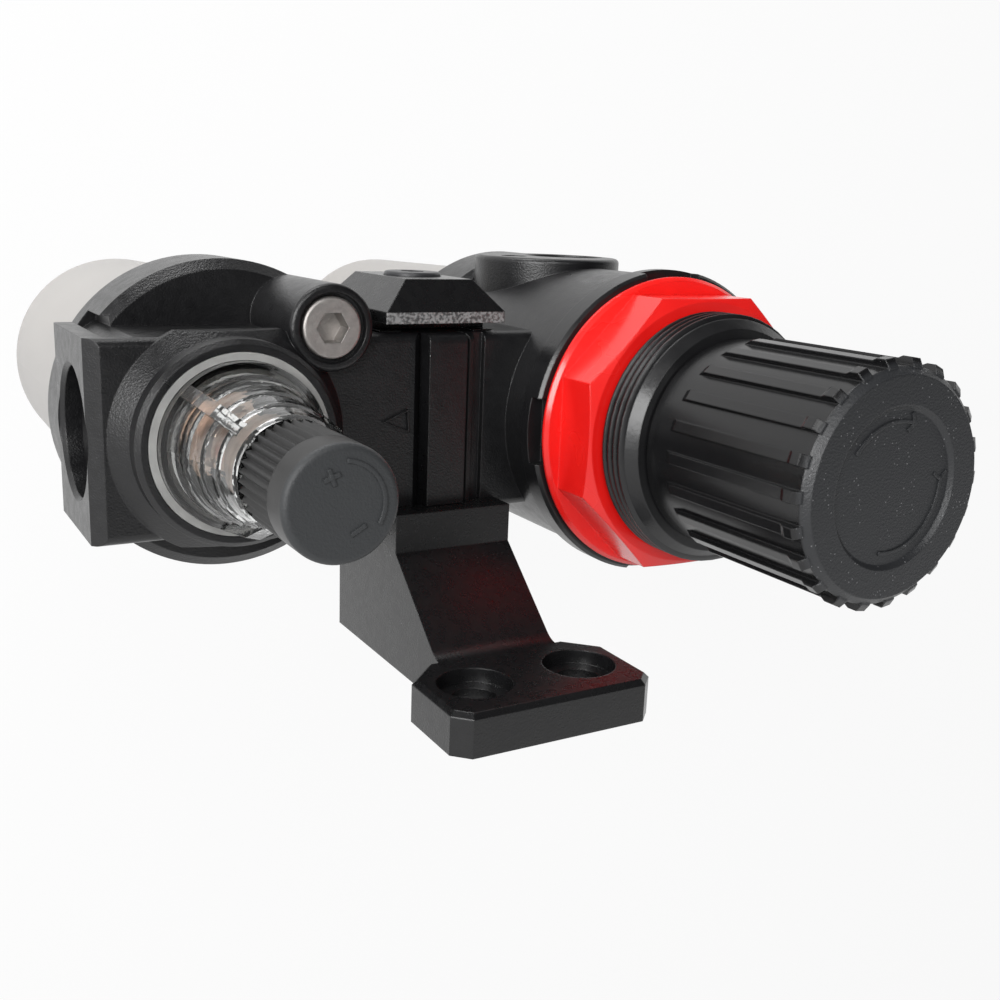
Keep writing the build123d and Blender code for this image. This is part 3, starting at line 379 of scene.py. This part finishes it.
# %% [markdown]
# ## Moulded plastics
#
# The nut is bright glossy red. The knob's sides are smooth, while its end was spark-eroded in the
# mould and is grainy, with small pale specks. The height along Z tells the two apart.

# %% Mix the moulded plastics
nut_red = Finish("nut_red", (0.80, 0.012, 0.010), 0.24, Coat_Weight=0.3, Coat_Roughness=0.1)
nut_cloud = nut_red.noise(6 * mm)
nut_colour = nut_red.blend(nut_cloud, (0.70, 0.006, 0.006), (0.88, 0.014, 0.010))
nut_red.feed("Base Color", nut_colour)
nut_red.feed("Roughness", nut_cloud * 0.12 + 0.2)
nut_red.bump(nut_red.noise(1.2 * mm), 0.012 * mm, 0.25 * mm)

knob_low, knob_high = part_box("regulator_knob")
knob_centre = (knob_low + knob_high) / 2


def moulded_knob(name, colour, end_colour, rough, end_z, speck_size, speckled):
    """Moulded knob: smooth sides and a grainy end above a height, each with its own roughness."""
    side_rough, end_rough = rough
    finish = Finish(name, colour, side_rough)
    end = finish.ramp(finish.axis("Z"), end_z - 0.4 * mm, end_z)
    cloud = finish.noise(2.5 * mm)
    speck = (finish.grains(speck_size) < 0.16) * (finish.noise(speck_size * 5) > 0.54) * end
    base = finish.blend(end, colour, end_colour)
    tinted = finish.node("ShaderNodeMix", {0: speck * speckled, 6: base}, data_type="RGBA")
    finish.set(tinted.inputs[7], (0.14, 0.14, 0.145, 1))
    finish.feed("Base Color", tinted.outputs[2])
    finish.feed("Roughness", end * (end_rough - side_rough) + cloud * 0.12 + (side_rough - 0.06))
    finish.bump(finish.noise(0.22 * mm, 3.0) * (end * 0.9 + 0.1), 0.04 * mm, 0.2 * mm)
    return finish


knob_black = moulded_knob(
    "knob_black",
    (0.006, 0.006, 0.0065),
    (0.018, 0.019, 0.021),
    (0.24, 0.42),
    knob_high[2] - 0.5 * mm,
    0.42 * mm,
    1.0,
)
drip_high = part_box("drip_knob")[1]
drip_knob_black = moulded_knob(
    "drip_knob_black",
    (0.012, 0.012, 0.012),
    (0.030, 0.032, 0.034),
    (0.42, 0.5),
    drip_high[2] - 0.3 * mm,
    0.3 * mm,
    0.0,
)

dark_plastic = Finish("dark_plastic", (0.05, 0.05, 0.055), 0.42)
dark_plastic.feed("Roughness", dark_plastic.noise(2 * mm) * 0.15 + 0.35)
dark_plastic.bump(dark_plastic.noise(0.3 * mm), 0.01 * mm)

pale_plastic = Finish("pale_plastic", (0.3, 0.3, 0.295), 0.35)
pale_cloud = pale_plastic.noise(1.5 * mm)
pale_colour = pale_plastic.blend(pale_cloud, (0.22, 0.22, 0.215), (0.36, 0.36, 0.35))
pale_plastic.feed("Base Color", pale_colour)
pale_plastic.bump(pale_plastic.noise(0.4 * mm), 0.02 * mm)
print("plastics:", nut_red.name, knob_black.name, drip_knob_black.name)

# %% [markdown]
# ## Clear and milky plastics
#
# The sight dome is clear and polished. The bowls are milky: light goes through them but comes out
# spread. Both let light pass by Transmission, and only the roughness and the colour tell them apart.

# %% Mix the clear plastics
clear_plastic = Finish("clear_plastic", (0.90, 0.91, 0.90), 0.03, Transmission_Weight=1.0, IOR=1.49)
clear_plastic.feed("Roughness", clear_plastic.noise(2 * mm) * 0.06 + 0.01)
clear_plastic.bump(clear_plastic.noise(1.2 * mm), 0.03 * mm)

bowl_plastic = Finish("bowl_plastic", (0.6, 0.58, 0.56), 0.32, Transmission_Weight=0.3, IOR=1.5)
bowl_cloud = bowl_plastic.noise(9 * mm)
bowl_colour = bowl_plastic.blend(bowl_cloud, (0.42, 0.395, 0.375), (0.56, 0.54, 0.515))
bowl_plastic.feed("Base Color", bowl_colour)
bowl_plastic.feed("Roughness", bowl_cloud * 0.15 + 0.25)
bowl_plastic.bump(bowl_plastic.noise(0.8 * mm), 0.01 * mm)
print("clear:", clear_plastic.name, bowl_plastic.name)

# %% [markdown]
# ## Metals, rubber and filter felt
#
# Turned metal carries fine rings round its axis. The distance from that axis, sent through a sine,
# draws them. Each turned piece on another axis gets a finish of its own, because the rings must share
# its centre.


# %% Mix the metals
def turned_metal(name, colour, roughness, centre, pitch=0.12 * mm, grain=0.0):
    """Metal with fine tool rings round an upright axis, and grain from 0 to 1 over them."""
    finish = Finish(name, colour, roughness, Metallic=1.0)
    radius = finish.reach(centre, (1, 1, 0))
    rings = radius.maths("SINE", radius * (tau / pitch)) * 0.5 + 0.5
    smear = finish.noise(0.9 * mm)
    pits = finish.noise(0.3 * mm, 3.0)
    dull = [c * 0.72 for c in colour]
    finish.feed("Base Color", finish.blend(smear + pits - 0.5, dull, colour))
    finish.feed("Roughness", rings * 0.06 + smear * 0.16 + pits * (grain * 0.2) + (roughness - 0.12))
    finish.bump(rings * (1 - grain) + pits * (grain * 4), 0.006 * mm, 0.12 * mm)
    return finish


def centre_of(node):
    """The middle of a node's box."""
    low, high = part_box(node)
    return (Vector(low) + Vector(high)) / 2


regulator_axis = centre_of("bonnet")
dome_axis = centre_of("sight_dome")
plug_axis = centre_of("fill_plug")
steel = turned_metal("steel", (0.60, 0.60, 0.61), 0.3, regulator_axis)
aluminium = turned_metal("aluminium", (0.78, 0.78, 0.80), 0.3, regulator_axis)
brass = turned_metal("brass", (0.60, 0.46, 0.38), 0.34, dome_axis, grain=0.4)
bright_plug = turned_metal("bright_plug", (0.50, 0.475, 0.455), 0.46, plug_axis, 0.2 * mm, 0.8)

rubber = Finish("rubber", (0.018, 0.018, 0.018), 0.6)
rubber.feed("Roughness", rubber.noise(1 * mm) * 0.2 + 0.5)
rubber.bump(rubber.noise(0.2 * mm), 0.01 * mm)

filter_media = Finish("filter_media", (0.80, 0.78, 0.73), 0.9)
beads = filter_media.grains(0.5 * mm)
felt_colour = filter_media.blend(beads, (0.86, 0.84, 0.79), (0.55, 0.53, 0.48))
filter_media.feed("Base Color", felt_colour)
filter_media.bump(1 - beads, 0.1 * mm)
print("metals:", steel.name, brass.name, bright_plug.name)

# %% [markdown]
# ## Dressing the CAD nodes
#
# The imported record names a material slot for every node, and the finishes above carry the same names.
# So one loop gives each node its finish.

# %% Give every node its finish
paints = (cast_body, clamp_black, bonnet_black, black_oxide)
plastics = (nut_red, knob_black, drip_knob_black, dark_plastic, pale_plastic)
clears = (clear_plastic, bowl_plastic)
others = (steel, aluminium, brass, bright_plug, rubber, filter_media)
finishes = {finish.name: finish for finish in paints + plastics + clears + others}
for entry in frame["record"]["subparts"]:
    node = frame["nodes"][entry["node"]]
    node.data.materials.clear()
    node.data.materials.append(finishes[entry["material_slot"]].material)
print("dressed", len(frame["nodes"]), "nodes")

# %% [markdown]
# ## New pieces
#
# A new piece is shaped round its own Z axis and then carried to its place, so that the object itself
# stays at the origin. Edges that turn sharply are marked sharp, and the rest are shaded smooth.


# %% Define how a new piece is finished
sharp_angle = radians(38)


def add_piece(name, shape, place, body, slot):
    """Turns a bmesh into an object that rides on a body and has a slot's finish."""
    bmesh.ops.remove_doubles(shape, verts=shape.verts, dist=0.001 * mm)
    bmesh.ops.transform(shape, matrix=place, verts=shape.verts)
    bmesh.ops.recalc_face_normals(shape, faces=shape.faces)
    for face in shape.faces:
        face.smooth = True
    for edge in shape.edges:
        edge.smooth = edge.calc_face_angle(0) < sharp_angle
    mesh = bpy.data.meshes.new(name)
    shape.to_mesh(mesh)
    shape.free()
    mesh.materials.append(finishes[slot].material)
    piece = bpy.data.objects.new(name, mesh)
    bpy.context.collection.objects.link(piece)
    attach(piece, body)
    print(name, len(mesh.polygons), "faces")
    return piece


def stand_at(point, axis=(0, 0, 1)):
    """The place whose origin is a point and whose Z follows an axis."""
    facing = Vector(axis).to_track_quat("Z", "Y").to_matrix().to_4x4()
    return Matrix.Translation(point) @ facing


# %% [markdown]
# ## Screw threads
#
# A thread is one ridge that winds along a hole or a shaft. The spin operator turns a small profile
# round the axis and lifts it a little at each step, which makes the helix directly. The ports have
# the pitches of the standard pipe threads, and the bonnet's thread has a judged pitch.


# %% Wind the threads
def wind_thread(root, crest, pitch, length, rooted=0.15 * mm):
    """A ridge from the root radius to the crest radius that winds up Z and is rooted in the wall."""
    steps = 56
    turns = max(1, int(length / pitch) - 1)
    shape = bmesh.new()
    half = pitch * 0.46
    sunk = rooted if root > crest else -rooted
    outline = (
        (root + sunk, -half),
        (root, -half),
        (crest, -half * 0.2),
        (crest, half * 0.2),
        (root, half),
        (root + sunk, half),
    )
    points = [shape.verts.new((radius, 0, level + pitch)) for radius, level in outline]
    profile = shape.faces.new(points)
    bmesh.ops.spin(
        shape,
        geom=[profile],
        cent=(0, 0, 0),
        axis=(0, 0, 1),
        dvec=(0, 0, pitch / steps),
        angle=tau * turns,
        steps=steps * turns,
        use_merge=False,
        use_duplicate=False,
    )
    return shape


port_threads = {
    "outlet_port": ("outlet_thread", 1.337 * mm, 5.75 * mm),
    "inlet_port": ("inlet_thread", 1.337 * mm, 5.75 * mm),
    "gauge_port": ("gauge_thread", 0.907 * mm, 4.3 * mm),
}
for mount in frame["record"]["mounts"]:
    if mount["name"] in port_threads:
        name, pitch, crest = port_threads[mount["name"]]
        bore = mount["dims"]["r_mm"] * mm
        ridge = wind_thread(bore, crest, pitch, mount["dims"]["length_mm"] * mm)
        inwards = [-c for c in mount["axis"]]
        add_piece(name, ridge, stand_at(mount["pos_m"], inwards), "unit", "cast_body")

nut_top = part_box("bonnet_nut")[1][2]
neck_r = 12.9 * mm
neck_crest = 13.35 * mm
neck_pitch = 0.9 * mm
neck_foot = Vector((regulator_axis[0], regulator_axis[1], nut_top - 0.8 * mm))
neck_ridge = wind_thread(neck_r, neck_crest, neck_pitch, 4.6 * mm, 0.6 * mm)
add_piece("bonnet_thread", neck_ridge, stand_at(neck_foot), "unit", "bonnet_black")

# %% [markdown]
# ## The flow mark
#
# A small raised triangle on the lubricator's front face points the way the air flows. Its rim is a
# triangle with its inside cut away, which inset and a deleted face make. Its corners are given from
# the spacer's middle, along the flow and across it.

# %% Raise the flow mark
mark_height = 0.35 * mm
mark_sink = 0.1 * mm
spacer_low, spacer_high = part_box("joint_spacer")
port_axis_y = next(m["pos_m"][1] for m in frame["record"]["mounts"] if m["name"] == "outlet_port")
front_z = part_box("lubricator_body")[1][2] - 4.0 * mm
spacer_middle = (spacer_low[0] + spacer_high[0]) / 2
corners_from_spacer = ((7.05, -0.7), (4.1, -1.95), (3.95, 0.6))
mark = bmesh.new()
corners = [
    mark.verts.new((spacer_middle + along * mm, port_axis_y + across * mm, front_z - mark_sink))
    for along, across in corners_from_spacer
]
triangle = mark.faces.new(corners)
triangle.normal_update()
bmesh.ops.inset_region(mark, faces=[triangle], use_boundary=True, thickness=0.3 * mm)
bmesh.ops.delete(mark, geom=[triangle], context="FACES")
rim = bmesh.ops.extrude_face_region(mark, geom=mark.faces[:])
rim_points = [item for item in rim["geom"] if isinstance(item, bmesh.types.BMVert)]
bmesh.ops.translate(mark, verts=rim_points, vec=(0, 0, mark_height + mark_sink))
add_piece("flow_mark", mark, Matrix.Identity(4), "unit", "cast_body")

# %% [markdown]
# ## Marks on the two knobs
#
# Turning marks help a hand find the right way. Each is a short curved bar: a small rectangle spun part
# of the way round the knob's axis. A plus and a minus at its ends are crossed straight bars. They are
# raised a fraction of a millimetre from the end face.


# %% Raise the turning marks
def curved_bar(shape, radius, width, height, start, sweep):
    """Adds an arc with a rectangular section, standing on Z = 0."""
    inner, outer = radius - width / 2, radius + width / 2
    outline = ((inner, -height), (outer, -height), (outer, height), (inner, height))
    points = [shape.verts.new((r * cos(start), r * sin(start), z)) for r, z in outline]
    profile = shape.faces.new(points)
    bmesh.ops.spin(
        shape,
        geom=[profile],
        cent=(0, 0, 0),
        axis=(0, 0, 1),
        dvec=(0, 0, 0),
        angle=sweep,
        steps=max(6, int(abs(sweep) * 14)),
        use_merge=False,
        use_duplicate=False,
    )


def bar(shape, radius, bearing, length, width, height, turned):
    """Adds a straight bar standing on Z = 0, at a radius and bearing and turned about its middle."""
    middle = Matrix.Translation((radius * cos(bearing), radius * sin(bearing), 0))
    size = Matrix.Diagonal((length, width, height * 2, 1))
    place = middle @ Matrix.Rotation(turned, 4, "Z") @ size
    bmesh.ops.create_cube(shape, size=1, matrix=place)


stroke = 0.38 * mm
relief = 0.14 * mm
drip_marks = bmesh.new()
curved_bar(drip_marks, 3.6 * mm, stroke, relief, radians(-95), radians(-115))
bar(drip_marks, 2.5 * mm, radians(-68), 1.5 * mm, stroke, relief, radians(20))
bar(drip_marks, 2.5 * mm, radians(-68), 1.5 * mm, stroke, relief * 0.8, radians(110))
bar(drip_marks, 2.5 * mm, radians(122), 1.5 * mm, stroke, relief, radians(30))
drip_end = Matrix.Translation((dome_axis[0], dome_axis[1], drip_high[2]))
add_piece("drip_knob_marks", drip_marks, drip_end, "drip_control", "drip_knob_black")

dish_depth = 0.4 * mm
knob_marks = bmesh.new()
for start, sweep in ((-33, -72), (81, 105)):
    curved_bar(knob_marks, 6.1 * mm, stroke, relief, radians(start), radians(sweep))
    tip = radians(start + sweep)
    for side in (-1, 1):
        lean = tip + side * radians(40)
        level = relief * (0.8 + 0.1 * side)
        bar(knob_marks, 6.1 * mm + side * 0.35 * mm, tip, 1.3 * mm, stroke, level, lean)
dish_place = Matrix.Translation((knob_centre[0], knob_centre[1], knob_high[2] - dish_depth))
add_piece("regulator_knob_marks", knob_marks, dish_place, "pressure_knob", "knob_black")
